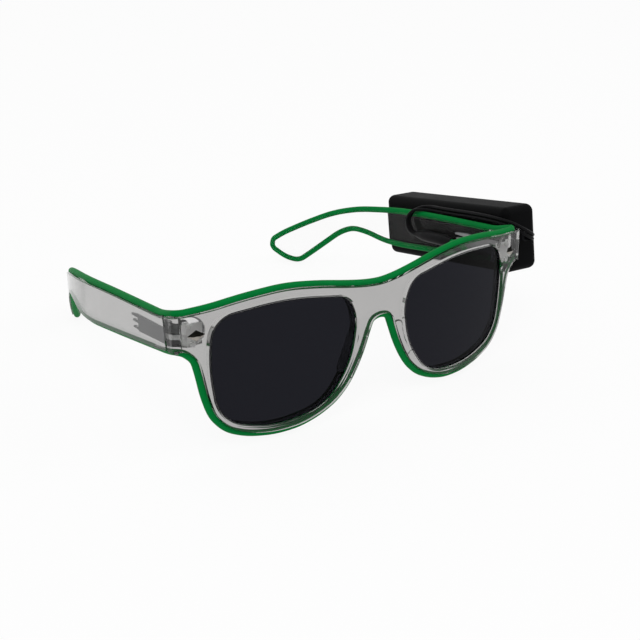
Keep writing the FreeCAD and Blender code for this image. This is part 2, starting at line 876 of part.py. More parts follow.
def battery_door():
    level = cover_level + door_lift
    door = case_slice(level, case_depth + overrun, bay_front + door_gap, case_length + overrun)
    low = case_wall + rail_gap
    high = case_height - case_wall - rail_gap
    lip = case_outside().common(block(cover_level - lip_drop + rail_gap, level + door_lift,
                                      case_length - lip_length, case_length + overrun, low, high))
    rails = []
    rail_end = case_length - lip_length
    for z in (low, high - rail_width):
        rails.append(block(cover_level - lip_drop + rail_gap, level + door_lift,
                           bay_front + rail_start, rail_end, z, z + rail_width))
    door = door.fuse([lip] + rails)
    for i in range(grip_count):
        y = case_length - grip_margin - i * grip_pitch
        door = door.cut(block(case_depth - grip_depth, case_depth + overrun, y - grip_width, y,
                              case_round + grip_width, case_height - case_round - grip_width))
    return door


def power_button():
    level = cover_level - button_flange_gap - button_flange_height
    base = Vec(level, button_start, case_middle)
    flange = rod(button_flange_radius, button_flange_height, base, X_AXIS)
    stem = rod(button_radius, case_depth + button_rise - level, base, X_AXIS)
    rim = [edge for edge in stem.Edges if edge.Closed and edge.CenterOfMass.x > case_depth]
    return flange.fuse(stem.makeFillet(button_round, rim))


def case_screw(place):
    top = place + X_AXIS * (case_depth - case_screw_head_height)
    head = rod(case_screw_head_radius, case_screw_head_height, top, X_AXIS)
    cross = block(case_depth - screw_slot_depth, case_depth + overrun,
                  place.y - case_screw_head_radius, place.y + case_screw_head_radius,
                  place.z - screw_slot_width / 2, place.z + screw_slot_width / 2)
    cross_turned = cross.copy()
    cross_turned.rotate(place, X_AXIS, 90)
    shank = rod(case_screw_radius, case_screw_length, top, -X_AXIS)
    return head.cut([cross, cross_turned]).fuse(shank)


def circuit_board():
    half = board_width / 2
    return block(board_level, board_level + board_thickness, board_start, board_start + board_length,
                 case_middle - half, case_middle + half)


board_top = board_level + board_thickness


def button_switch():
    body = block(board_top, board_top + switch_height, button_start - switch_half,
                 button_start + switch_half, case_middle - switch_half, case_middle + switch_half)
    stem = rod(switch_stem_radius, switch_height + switch_stem_height,
               Vec(board_top, button_start, case_middle), X_AXIS)
    return body.fuse(stem)


def transformer():
    """Ferrite frame with its winding across the middle"""
    z = case_middle + coil_offset
    outer = block(board_top, board_top + coil_rise, coil_start, coil_start + coil_length,
                  z - coil_height / 2, z + coil_height / 2)
    window = block(board_top - overrun, board_top + coil_rise + overrun, coil_start + coil_core_wall,
                   coil_start + coil_length - coil_core_wall, z - coil_height / 2 + coil_core_wall,
                   z + coil_height / 2 - coil_core_wall)
    winding = rod(coil_height / 2 - coil_core_wall + peg_fit, coil_rise,
                  Vec(board_top, coil_start + coil_length / 2, z), X_AXIS)
    return outer.cut(window).fuse(winding)


def capacitor():
    can = rod(capacitor_radius, capacitor_height,
              Vec(board_top, capacitor_start, case_middle + capacitor_offset), X_AXIS)
    top = [edge for edge in can.Edges if edge.Closed and edge.CenterOfMass.x > board_top + post_radius]
    return can.makeFillet(peg_fit * 6, top)


def driver_chip():
    return block(board_level - chip_height, board_level, chip_start, chip_start + chip_length,
                 case_middle - chip_width / 2, case_middle + chip_width / 2)


cell_x = case_wall + cell_rise + cell_radius
bay_end = case_length - case_wall
cell_reach = bay_end - bay_front - contact_thickness * 2 - bow_room


def cell(step):
    """One AAA cell: the lower one points back and the upper one forward"""
    z = case_middle + step * cell_half_spacing
    if step < 0:
        tip = Vec(cell_x, bay_end - contact_thickness, z)
        way = -Y_AXIS
    else:
        tip = Vec(cell_x, bay_front + contact_thickness, z)
        way = Y_AXIS
    body = rod(cell_radius, cell_reach - nub_length, tip + way * nub_length, way)
    return body.fuse(rod(nub_radius, cell_reach, tip, way))


def bow(start_y, way, step):
    """Sprung strip that bows from a contact plate to a cell's flat end"""
    z = case_middle + step * cell_half_spacing
    reach = way * bow_room
    thick = way * bow_thickness
    points = [Vec(cell_x - bow_half, start_y, 0), Vec(cell_x - bow_half / 3, start_y + reach, 0),
              Vec(cell_x + bow_half / 3, start_y + reach, 0), Vec(cell_x + bow_half, start_y, 0),
              Vec(cell_x + bow_half - bow_thickness * 2, start_y, 0),
              Vec(cell_x + bow_half / 3 - bow_thickness, start_y + reach - thick, 0),
              Vec(cell_x - bow_half / 3 + bow_thickness, start_y + reach - thick, 0),
              Vec(cell_x - bow_half + bow_thickness * 2, start_y, 0)]
    face = Part.Face(Part.makePolygon(points + points[:1]))
    face.translate(Vec(0, 0, z - bow_width / 2))
    return face.extrude(Vec(0, 0, bow_width))


def contact_plate(y, z_low, z_high):
    return block(case_wall, cell_x + contact_width / 2, y, y + contact_thickness, z_low, z_high)


def front_contacts():
    low = case_middle - cell_half_spacing
    high = case_middle + cell_half_spacing
    half = contact_width / 2
    sprung = contact_plate(bay_front, low - half, low + half)
    sprung = sprung.fuse(bow(bay_front + contact_thickness, 1, -1))
    plain = contact_plate(bay_front, high - half, high + half)
    return Part.makeCompound([sprung, plain])


def rear_contact():
    half = contact_width / 2
    plate = contact_plate(bay_end - contact_thickness, case_middle - cell_half_spacing - half,
                          case_middle + cell_half_spacing + half)
    return plate.fuse(bow(bay_end - contact_thickness, -1, 1))


def grommet():
    return rod(grommet_radius, case_wall, Vec(lead_out, 0, lead_up), Y_AXIS)


def foam_pad():
    return block(-pad_thickness, 0, foam_start, foam_start + foam_length, foam_low, foam_high)


def lead_middle():
    """Way midway between the two strands, and the lean of the strands at each point"""
    out = case_place().multVec(Vec(lead_out, 0, lead_up))
    ahead = case_place().multVec(Vec(lead_out, -lead_exit, lead_up))
    rear = on_arm(*sleeve_rear)
    behind = toward(rear, on_arm(*sleeve_front), -lead_exit)
    points = [out, ahead] + [on_arm(*place[:3]) for place in lead_route] + [behind, rear]
    leans = [0, 0] + [place[3] for place in lead_route] + [90, 90]
    return points, leans


def lead(step):
    """One strand, from the case's front end to the shrink sleeve"""
    points, leans = lead_middle()
    strand = []
    for i, (point, lean) in enumerate(zip(points, leans)):
        ahead = points[min(i + 1, len(points) - 1)] - point
        behind = point - points[max(i - 1, 0)]
        way = ahead + behind
        if ahead.Length and behind.Length:
            way = ahead / ahead.Length + behind / behind.Length
        way.normalize()
        upright = Vec(math.sin(math.radians(lean)), 0, math.cos(math.radians(lean)))
        offset = upright - way * upright.dot(way)
        offset.normalize()
        strand.append(point + offset * (step * lead_half_spacing))
    print("lead: least radius %.2f" % least_radius(strand))
    return tube(strand, lead_radius)


def shrink_sleeve():
    """Round sleeve over the splice, drawn in at both ends"""
    rear = on_arm(*sleeve_rear)
    front = on_arm(*sleeve_front)
    length = (front - rear).Length
    outline = [Vec(0, 0, 0), Vec(sleeve_end_radius, 0, 0), Vec(sleeve_radius, 0, sleeve_taper),
               Vec(sleeve_radius, 0, length - sleeve_taper), Vec(sleeve_end_radius, 0, length),
               Vec(0, 0, length)]
    sleeve = Part.Face(Part.makePolygon(outline + outline[:1])).revolve(ORIGIN, Z_AXIS, 360)
    sleeve.Placement = FreeCAD.Placement(rear, FreeCAD.Rotation(Z_AXIS, front - rear))
    return sleeve


# Write every piece

def main():
    save("front_frame", front_frame())
    save("light_wire_brow", tube(brow_wire_points(), wire_radius, flex_trims))
    save("light_wire_rim", tube(rim_wire_points(), wire_radius, flex_trims))
    pieces = {"lens": lens(), "stud": stud(), "frame_hinge": frame_hinge(), "hinge_screw": hinge_screw()}
    for name, shape in pieces.items():
        save(name + "_left", shape)
        save(name + "_right", mirrored(shape))
    for side, word in ((LEFT, "left"), (RIGHT, "right")):
        save("arm_" + word, seated(arm(side), side))
        save("arm_hinge_" + word, seated(arm_hinge(), side))
        save("light_wire_arm_" + word, seated(arm_wire(side), side))
        save("light_wire_bend_top_" + word, flex(side, True))
        save("light_wire_bend_low_" + word, flex(side, False))
    save("light_wire_cap", seated(wire_cap(), LEFT))
    save("light_wire_tail", seated(tube(tail_points(), wire_radius), LEFT))
    save("shrink_sleeve", seated(shrink_sleeve(), LEFT))
    save("lead_upper", seated(lead(1), LEFT))
    save("lead_lower", seated(lead(-1), LEFT))
    for name, shape in (("battery_case", battery_case()), ("case_cover", case_cover()),
                        ("battery_door", battery_door()), ("power_button", power_button()),
                        ("circuit_board", circuit_board()), ("button_switch", button_switch()),
                        ("transformer", transformer()), ("capacitor", capacitor()),
                        ("driver_chip", driver_chip()), ("cell_lower", cell(-1)),
                        ("cell_upper", cell(1)), ("front_contacts", front_contacts()),
                        ("rear_contact", rear_contact()), ("lead_grommet", grommet()),
                        ("foam_pad", foam_pad()),
                        ("case_screws", Part.makeCompound([case_screw(p) for p in screw_post_places()]))):
        save(name, case_seated(shape))


main()
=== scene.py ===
# Light up party glasses: finishes, leads, bends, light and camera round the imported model, in metres
import json
import math

import bpy
import bmesh
from mathutils import Matrix, Vector
from mathutils.bvhtree import BVHTree


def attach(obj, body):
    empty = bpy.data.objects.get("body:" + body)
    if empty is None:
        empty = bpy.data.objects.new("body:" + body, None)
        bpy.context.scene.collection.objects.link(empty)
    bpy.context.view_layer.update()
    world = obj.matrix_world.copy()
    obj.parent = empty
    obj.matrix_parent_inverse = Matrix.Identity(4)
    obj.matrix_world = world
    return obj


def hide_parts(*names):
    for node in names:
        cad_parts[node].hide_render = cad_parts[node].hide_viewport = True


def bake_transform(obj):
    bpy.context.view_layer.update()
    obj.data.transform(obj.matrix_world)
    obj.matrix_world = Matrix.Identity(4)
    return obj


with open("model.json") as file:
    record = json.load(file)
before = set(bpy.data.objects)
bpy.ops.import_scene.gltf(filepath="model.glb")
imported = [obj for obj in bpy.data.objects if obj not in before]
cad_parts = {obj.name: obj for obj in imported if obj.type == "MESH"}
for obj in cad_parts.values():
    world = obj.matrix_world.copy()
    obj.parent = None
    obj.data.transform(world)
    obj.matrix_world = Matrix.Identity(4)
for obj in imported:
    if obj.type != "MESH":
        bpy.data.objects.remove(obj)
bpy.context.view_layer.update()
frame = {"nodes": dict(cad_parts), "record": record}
nodes = frame["nodes"]
scene = bpy.context.scene
slotOf = {entry["node"]: entry["material_slot"] for entry in frame["record"]["subparts"]}
bodyOf = {node: body for body, members in frame["record"]["behaviour"]["bodies"].items()
          for node in members}
sides = {"left": 1, "right": -1}  # the wearer's, as signs of X
print("loaded", len(nodes), "nodes")


# Camera, where the photograph was taken from
cameraView = {"place": (-0.22534, -0.26383, 0.13663), "heading": -37.308, "lookDown": 21.547,
              "roll": -0.164, "lens": 63.76, "sensor": 36, "nearest": 0.01}


def makeCamera(view):
    data = bpy.data.cameras.new("camera")
    data.lens = view["lens"]
    data.sensor_width = view["sensor"]
    data.clip_start = view["nearest"]
    camera = bpy.data.objects.new("camera", data)
    scene.collection.objects.link(camera)
    turn = (Matrix.Rotation(math.radians(view["heading"]), 4, "Z")
            @ Matrix.Rotation(math.radians(90 - view["lookDown"]), 4, "X")
            @ Matrix.Rotation(math.radians(view["roll"]), 4, "Z"))
    camera.matrix_world = Matrix.Translation(view["place"]) @ turn
    scene.camera = camera
    scene.view_settings.view_transform = "Standard"


makeCamera(cameraView)
print("camera made")


# Shader maths as sums: a socket with the usual operators
class Channel:
    def __init__(self, finish, socket):
        self.finish = finish
        self.socket = socket

    def maths(self, operation, *values):
        inputs = dict(enumerate(values))
        return self.finish.node("ShaderNodeMath", {"operation": operation}, inputs)

    def __add__(self, other):
        return self.maths("ADD", self, other)

    def __radd__(self, other):
        return self.maths("ADD", other, self)

    def __sub__(self, other):
        return self.maths("SUBTRACT", self, other)

    def __rsub__(self, other):
        return self.maths("SUBTRACT", other, self)

    def __mul__(self, other):
        return self.maths("MULTIPLY", self, other)

    def __rmul__(self, other):
        return self.maths("MULTIPLY", other, self)

    def __gt__(self, other):
        return self.maths("GREATER_THAN", self, other)

    def __lt__(self, other):
        return self.maths("LESS_THAN", self, other)

    def __abs__(self):
        return self.maths("ABSOLUTE", self)

    def root(self):
        return self.maths("SQRT", self)


# A material, or the world, built node by node
class Finish:
    def __init__(self, name, owner=None):
        self.made = owner or bpy.data.materials.new(name)
        self.made.use_nodes = True
        self.tree = self.made.node_tree
        self.tree.nodes.clear()

    def node(self, kind, settings=None, inputs=None, output=0):
        made = self.tree.nodes.new(kind)
        for key, value in (settings or {}).items():
            setattr(made, key, value)
        for key, value in (inputs or {}).items():
            if isinstance(value, Channel):
                self.tree.links.new(value.socket, made.inputs[key])
            else:
                made.inputs[key].default_value = value
        return Channel(self, made.outputs[output]) if made.outputs else None

    def place(self):
        return self.node("ShaderNodeTexCoord", output="Object")

    def axis(self, name):
        return self.node("ShaderNodeSeparateXYZ", {}, {0: self.place()}, name)

    def noise(self, scale, detail=2.0, roughness=0.5, vector=None):
        inputs = {"Vector": vector or self.place(), "Scale": scale, "Detail": detail,
                  "Roughness": roughness}
        return self.node("ShaderNodeTexNoise", {}, inputs, "Fac")

    def stretched(self, scale):
        return self.node("ShaderNodeMapping", {}, {"Vector": self.place(), "Scale": scale})

    def blend(self, factor, colourA, colourB):
        ends = [(*colour, 1) if isinstance(colour, tuple) else colour for colour in (colourA, colourB)]
        inputs = {"Factor": factor, 6: ends[0], 7: ends[1]}  # the colour sockets A and B
        return self.node("ShaderNodeMix", {"data_type": "RGBA"}, inputs, 2)  # and the colour result

    def bump(self, height, strength, distance):
        inputs = {"Height": height, "Strength": strength, "Distance": distance}
        return self.node("ShaderNodeBump", {}, inputs)

    # 1 for rays straight from the camera, off glossy surfaces or through clear ones
    def seen(self):
        camera, glossy, through = [self.node("ShaderNodeLightPath", output="Is " + ray + " Ray")
                                   for ray in ("Camera", "Glossy", "Transmission")]
        return camera + glossy + through > 0.5

    def surface(self, **values):
        names = {"colour": "Base Color", "roughness": "Roughness", "metal": "Metallic",
                 "normal": "Normal", "clear": "Transmission Weight", "ior": "IOR",
                 "gloss": "Specular IOR Level"}
        inputs = {}
        for key, value in values.items():
            inputs[names[key]] = (*value, 1) if isinstance(value, tuple) else value
        return self.close(self.node("ShaderNodeBsdfPrincipled", {}, inputs))

    def close(self, shader, output="ShaderNodeOutputMaterial"):
        self.node(output, {}, {"Surface": shader})
        return self.made


# Finishes, one dictionary of values beside each. A noise is its scale, detail and roughness, a bump
# its strength and depth. "smooth" is the least roughness, and "spread" what the noise adds to it
clearLook = {"tint": (0.46, 0.455, 0.45), "haze": (0.41, 0.405, 0.40), "ior": 1.30, "clear": 0.998,
             "flow": (60, 1.5), "scuff": (900, 4.0, 0.6), "smooth": 0.04, "spread": 0.05,
             "ripple": (0.2, 0.0002)}
armLook = {**clearLook, "tint": (0.99, 0.99, 0.99), "haze": (0.97, 0.97, 0.97), "ior": 1.13}
# Painted light and shade where a stud's boss meets the plastic: a painted bright disc, and a half ring
# painted dark as shade of the boss's wall. Middle, radii and depths
bossLook = {"out": 0.0666, "height": 0.0094, "inner": 0.0045, "outer": 0.0052, "front": 0.0098,
            "back": 0.0118, "wall": (0.03, 0.03, 0.033), "disc": (0.96, 0.965, 0.965)}


def bossPaintedShade(f, colour, look):
    out = abs(f.axis("X")) - look["out"]
    up = f.axis("Z") - look["height"]
    y = f.axis("Y")
    reach = (out * out + up * up).root()
    depth = (y > look["front"]) * (y < look["back"])
    # The half ring is painted shade of the boss's wall seen through the plastic, and the bright middle
    # is painted light
    wall = (reach < look["outer"]) * (reach > look["inner"]) * (out < 0.0)
    colour = f.blend((reach < look["inner"]) * depth, colour, look["disc"])
    return f.blend(wall * depth, colour, look["wall"])


def clearPlastic(name, look, boss=None):
    f = Finish(name)
    flow = f.noise(*look["flow"])
    scuff = f.noise(*look["scuff"])
    colour = f.blend(flow, look["tint"], look["haze"])
    if boss:
        colour = bossPaintedShade(f, colour, boss)
    return f.surface(colour=colour, roughness=look["smooth"] + scuff * look["spread"],
                     clear=look["clear"], ior=look["ior"], normal=f.bump(flow, *look["ripple"]))


lensLook = {"smoke": (0.0120, 0.0123, 0.0165), "ior": 1.10, "clear": 1.0, "smudge": (140, 3.0),
            "smooth": 0.04, "spread": 0.06}


def smokeLens(look):
    f = Finish("smokeLens")
    smudge = f.noise(*look["smudge"])
    return f.surface(colour=look["smoke"], roughness=look["smooth"] + smudge * look["spread"],
                     clear=look["clear"], ior=look["ior"])


wireLook = {"green": (0.0004, 0.200, 0.038), "shade": (0.0002, 0.150, 0.028), "mottle": 180,
            "grain": 1400, "smooth": 0.42, "spread": 0.12, "gloss": 0.03, "bump": (0.15, 0.00004)}


def lightWire(look):
    f = Finish("lightWire")
    grain = f.noise(look["grain"])
    return f.surface(colour=f.blend(f.noise(look["mottle"]), look["shade"], look["green"]),
                     roughness=look["smooth"] + grain * look["spread"], gloss=look["gloss"],
                     normal=f.bump(grain, *look["bump"]))


rubberLook = {"cloud": 120, "worn": 1.8, "detail": 3.0, "spread": 0.12, "gloss": 0.05, "strength": 0.4}
# Black rubbers: name, colour, least roughness, scale of the grain and its depth
rubbers = {"shrink_sleeve": ("shrinkSleeve", (0.004, 0.004, 0.0045), 0.34, 600, 0.00012),
           "lead_sleeve": ("leadSleeve", (0.004, 0.004, 0.0045), 0.30, 900, 0.00004),
           "soft_rubber": ("softRubber", (0.008, 0.008, 0.009), 0.55, 1500, 0.00004),
           "foam_tape": ("foamTape", (0.012, 0.012, 0.012), 0.85, 2200, 0.0002)}


def blackRubber(name, colour, smooth, scale, depth):
    f = Finish(name)
    grain = f.noise(scale, rubberLook["detail"])
    worn = tuple(value * rubberLook["worn"] for value in colour)
    return f.surface(colour=f.blend(f.noise(rubberLook["cloud"]), colour, worn),
                     roughness=smooth + grain * rubberLook["spread"], gloss=rubberLook["gloss"],
                     normal=f.bump(grain, rubberLook["strength"], depth))


caseLook = {"black": (0.0016, 0.0017, 0.0019), "worn": (0.0034, 0.0035, 0.0039),
            "texture": (2600, 3.0, 0.65), "wear": (75, 4.0), "smooth": 0.50, "spread": 0.14,
            "gloss": 0.03, "bump": (0.55, 0.00006)}


def casePlastic(look):
    f = Finish("casePlastic")
    texture = f.noise(*look["texture"])
    wear = f.noise(*look["wear"])
    return f.surface(colour=f.blend(wear, look["black"], look["worn"]), gloss=look["gloss"],
                     roughness=look["smooth"] + wear * look["spread"],
                     normal=f.bump(texture, *look["bump"]))


# Brush lines lie across Y on every brushed metal
brushLook = {"scale": 500, "stretch": (1.0, 12.0, 1.0), "spread": 0.15, "bump": (0.2, 0.00003)}
contactLook = {"bright": (0.42, 0.42, 0.40), "dark": 0.75, "smooth": 0.24, "metal": 1.0}
# One hinge metal painted lit and shaded: the front's hinge has a painted bright foot and knuckles
# painted dark as shade, and the arm's has a painted bright knuckle and a leaf painted grey as shade
hingeLook = {"smooth": 0.42, "metal": 0.35}
footLitShaded = {"front": (0.97, 0.97, 0.97), "back": (0.045, 0.050, 0.050), "border": 0.01095}
leafLitShaded = {"front": (0.80, 0.80, 0.80), "back": (0.30, 0.30, 0.31), "border": 0.0142}


def brushLines(f):
    return f.noise(brushLook["scale"], vector=f.stretched(brushLook["stretch"]))


def brushed(f, colour, lines, look):
    return f.surface(colour=colour, metal=look["metal"],
                     roughness=look["smooth"] + lines * brushLook["spread"],
                     normal=f.bump(lines, *brushLook["bump"]))


def contactMetal(look):
    f = Finish("contactMetal")
    lines = brushLines(f)
    dark = tuple(value * look["dark"] for value in look["bright"])
    return brushed(f, f.blend(lines, dark, look["bright"]), lines, look)


def hingeMetal(name, look):
    f = Finish(name)
    # Painted light and shade: metal ahead of the border in Y is painted bright, and metal behind it is
    # painted dark
    colour = f.blend(f.axis("Y") < look["border"], look["back"], look["front"])
    return brushed(f, colour, brushLines(f), hingeLook)


# Studs: a random worn cloud of tone, with every facet above the ridge painted dark as a painted dark
# reflection
studLook = {"ridge": 0.00918, "bright": (0.40, 0.37, 0.33), "worn": (0.28, 0.26, 0.24),
            "dark": (0.006, 0.006, 0.005), "cloud": (700, 3.0), "smooth": 0.24, "spread": 0.14,
            "metal": 1.0}


def studMetal(look):
    f = Finish("studMetal")
    cloud = f.noise(*look["cloud"])
    colour = f.blend(cloud, look["worn"], look["bright"])
    # Above the ridge in Z the stud is painted dark, a painted reflection
    return f.surface(colour=f.blend(f.axis("Z") > look["ridge"], colour, look["dark"]),
                     metal=look["metal"], roughness=look["smooth"] + cloud * look["spread"])


mouldedLook = {"grain": 1800, "cloud": 200, "dark": 0.7, "spread": 0.1, "bump": (0.3, 0.00004)}
# Small moulded parts in the case: name, colour and least roughness
mouldings = {"cell_can": ("cellCan", (0.03, 0.03, 0.035), 0.25),
             "board": ("board", (0.015, 0.12, 0.045), 0.35),
             "button_switch": ("buttonSwitch", (0.02, 0.02, 0.02), 0.4),
             "driver_chip": ("driverChip", (0.012, 0.012, 0.013), 0.45),
             "capacitor": ("capacitor", (0.02, 0.025, 0.07), 0.3),
             "transformer": ("transformer", (0.035, 0.03, 0.028), 0.6)}


def moulded(name, colour, smooth):
    f = Finish(name)
    grain = f.noise(mouldedLook["grain"])
    dark = tuple(value * mouldedLook["dark"] for value in colour)
    return f.surface(colour=f.blend(f.noise(mouldedLook["cloud"]), dark, colour),
                     roughness=smooth + grain * mouldedLook["spread"],
                     normal=f.bump(grain, *mouldedLook["bump"]))


finishes = {
    "clear_plastic": clearPlastic("clearPlastic", clearLook, bossLook),
    "smoke_lens": smokeLens(lensLook),
    "light_wire": lightWire(wireLook),
    "case_plastic": casePlastic(caseLook),
    "stud_metal": studMetal(studLook),
    "hinge_metal": hingeMetal("hingeFootLitShaded", footLitShaded),
    "contact_metal": contactMetal(contactLook),
    **{slot: blackRubber(*look) for slot, look in rubbers.items()},
    **{slot: moulded(*look) for slot, look in mouldings.items()},
}
hingeLeafLitShaded = hingeMetal("hingeLeafLitShaded", leafLitShaded)
# Nodes with a finish of their own
ownFinish = {"arm_left": clearPlastic("clearArm", armLook), "arm_hinge_left": hingeLeafLitShaded,
             "arm_hinge_right": hingeLeafLitShaded}


def finishOf(name):
    return ownFinish.get(name, finishes[slotOf[name]])


for name, node in nodes.items():
    for holder in node.material_slots:
        holder.material = finishOf(name)
print("finishes given to", len(slotOf), "nodes")


# Copies of the nodes with their facets shaded round. What is moulded into the clear plastic or lies
# in its grooves is grown by a hair where it touches, and the lenses are narrowed by one, so that no
# film of air shows between them
contact = {"reach": 0.00016, "grow": 0.00013, "lensGrow": -0.0001}
facets = {"merge": 2e-6, "sharp": 28}  # metres and degrees
plainNodes = ["front_frame", "arm_left", "arm_right", "shrink_sleeve", "battery_case", "case_cover",
              "battery_door", "power_button"]
seatedNodes = {"front_frame": ["light_wire_brow", "light_wire_rim", "lens_left", "lens_right",
                               "stud_left", "stud_right", "frame_hinge_left", "frame_hinge_right"],
               "arm_left": ["light_wire_arm_left", "light_wire_tail", "light_wire_cap",
                            "arm_hinge_left"],
               "arm_right": ["light_wire_arm_right", "arm_hinge_right"]}


def mergedShape(name):
    shape = bmesh.new()
    shape.from_mesh(nodes[name].data)
    bmesh.ops.remove_doubles(shape, verts=shape.verts, dist=facets["merge"])
    shape.normal_update()
    return shape


def surfaceOf(name):
    shape = mergedShape(name)
    tree = BVHTree.FromBMesh(shape)
    shape.free()
    return tree


# The lip in front of the lower wire is cut back, so that the wire shows as it does in the photograph.
# The cutter goes "cut" into the lip and stands "clear" of it, from "starts" to "ends" in front of the
# wire's middle. A run of the outline has more than "least" places, within "reach" of the wire,
# between a face whose normal's Y is under "front" and a wall whose own is smaller than "side"
lip = {"cut": 0.0005, "clear": 0.0007, "starts": 0.0003, "ends": 0.0045, "reach": 0.0019,
       "wireRadius": 0.00115, "front": -0.5, "side": 0.3, "least": 100}


# Depth of the wire's middle beside a place, and the gap to the wire
def wireDepth(wire, place):
    touch, normal, index, gap = wire.find_nearest(place)
    return touch.y - normal.y * lip["wireRadius"], gap


def aheadOfWire(wire, place):
    depth, gap = wireDepth(wire, place)
    return gap < lip["reach"] and place.y < depth - lip["wireRadius"]


# Outline of the front along the lower wire, as lists of places with the way inwards
def outlineRuns(shape, wire):
    inwards = {}
    joined = {}
    for edge in shape.edges:
        if len(edge.link_faces) == 2 and all(aheadOfWire(wire, vert.co) for vert in edge.verts):
            face, wall = sorted(edge.link_faces, key=lambda linked: linked.normal.y)
            if face.normal.y < lip["front"] and abs(wall.normal.y) < lip["side"]:
                for vert in edge.verts:
                    inwards.setdefault(vert, Vector()).xz -= wall.normal.xz
                    joined.setdefault(vert, []).append(edge)
    runs = []
    used = set()
    for vert in [vert for vert, edges in joined.items() if len(edges) == 1]:
        run = []
        while vert and vert not in used:
            used.add(vert)
            run.append((vert.co.copy(), Vector((inwards[vert].x, 0, inwards[vert].z)).normalized()))
            nearby = [edge.other_vert(vert) for edge in joined[vert]]
            vert = next((other for other in nearby if other not in used), None)
        if len(run) > lip["least"]:
            runs.append(run)
    return runs


# Cutter with four corners at every place of a run
def lipCutter(runs, wire):
    cutter = bmesh.new()
    for run in runs:
        rings = []
        for place, inward in run:
            middle = wireDepth(wire, place)[0]
            ring = []
            for inset, ahead in ((lip["cut"], lip["starts"]), (-lip["clear"], lip["starts"]),
                                 (-lip["clear"], lip["ends"]), (lip["cut"], lip["ends"])):
                corner = place + inward * inset
                corner.y = middle - ahead
                ring.append(cutter.verts.new(corner))
            rings.append(ring)
        for ring, after in zip(rings, rings[1:]):
            for i in range(4):
                cutter.faces.new((ring[i - 1], ring[i], after[i], after[i - 1]))
        cutter.faces.new(rings[0])
        cutter.faces.new(reversed(rings[-1]))
    bmesh.ops.recalc_face_normals(cutter, faces=cutter.faces)
    mesh = bpy.data.meshes.new("lipCutter")
    cutter.to_mesh(mesh)
    cutter.free()
    return mesh


def cutLip(mesh, shape):
    wire = surfaceOf("light_wire_rim")
    runs = outlineRuns(shape, wire)
    front = bpy.data.objects.new("front", mesh)
    cutter = bpy.data.objects.new("cutter", lipCutter(runs, wire))
    for holder in (front, cutter):
        scene.collection.objects.link(holder)
    modifier = front.modifiers.new("cut", "BOOLEAN")
    modifier.operation = "DIFFERENCE"
    modifier.solver = "EXACT"
    modifier.use_self = True
    modifier.object = cutter
    ready = front.evaluated_get(bpy.context.evaluated_depsgraph_get())
    cut = bpy.data.meshes.new_from_object(ready)
    for holder in (front, cutter):
        bpy.data.objects.remove(holder)
    print("lip cut along", [len(run) for run in runs], "places,", len(mesh.vertices), "to",
          len(cut.vertices), "vertices")
    return cut


def smoothCopy(name, holder=None):
    mesh = nodes[name].data.copy()
    shape = mergedShape(name)
    if holder:
        grow = contact["lensGrow"] if slotOf[name] == "smoke_lens" else contact["grow"]
        for vert in shape.verts:
            if holder.find_nearest(vert.co, contact["reach"])[0]:
                vert.co += vert.normal * grow
    shape.to_mesh(mesh)
    if name == "front_frame":
        mesh = cutLip(mesh, shape)
    shape.free()
    if mesh.has_custom_normals:
        mesh.attributes.remove(mesh.attributes["custom_normal"])
    mesh.shade_smooth()
    mesh.set_sharp_from_angle(angle=math.radians(facets["sharp"]))
    mesh.materials.clear()
    mesh.materials.append(finishOf(name))
    piece = bpy.data.objects.new(name + "_face", mesh)
    scene.collection.objects.link(piece)
    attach(piece, bodyOf[name])
    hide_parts(name)


for name in plainNodes:
    smoothCopy(name)
for holderName, members in seatedNodes.items():
    holder = surfaceOf(holderName)
    for name in members:
        smoothCopy(name, holder)
print("shaded round", len(plainNodes) + sum(len(members) for members in seatedNodes.values()))


# Hinge axis in plan, the wire's middle on the arm, and each arm's turn in degrees
armLie = {"hinge": (0.0672, 0.011823), "wireOut": 0.071, "left": -5.6, "right": 5.35}


# Place on an arm as it lies: behind the hinge axis, outwards from the wire's middle, and up
def onArm(word, behind, out, up):
    hinge = Vector((*armLie["hinge"], 0))
    straight = Vector((armLie["wireOut"] + out, hinge.y + behind, up))
    turned = Matrix.Rotation(math.radians(armLie[word]), 3, "Z") @ (straight - hinge) + hinge
    turned.x *= sides[word]
    return turned


# Leads from the case's front end, over the arm and round into the shrink sleeve
lead = {"diameter": 0.0013, "spacing": 0.00074, "length": 0.0865, "round": 5, "steps": 16, "order": 3}
# Behind the hinge axis, out from the arm's middle, up, and the lean of the two strands in degrees
leadRoute = [(0.00350, 0.01220, 0.00923, 0), (0.0002, 0.0122, 0.0098, 0), (-0.0022, 0.0108, 0.0108, 0),
             (-0.0024, 0.0064, 0.0134, 0), (0.0004, 0.0037, 0.0153, 0), (0.0044, 0.0022, 0.0160, 0),
             (0.0105, 0.0018, 0.0158, 0), (0.0215, 0.0018, 0.0146, 0), (0.0330, 0.00185, 0.0128, 0),
             (0.0420, 0.0018, 0.0116, 0), (0.0475, 0.0018, 0.0109, 20), (0.0518, 0.0004, 0.0104, 50),
             (0.0548, -0.0024, 0.0093, 80), (0.0560, -0.0042, 0.0059, 90), (0.0548, -0.0044, 0.0022, 90),
             (0.0520, -0.00415, 0.00045, 90), (0.0488, -0.00415, 0.00085, 90)]


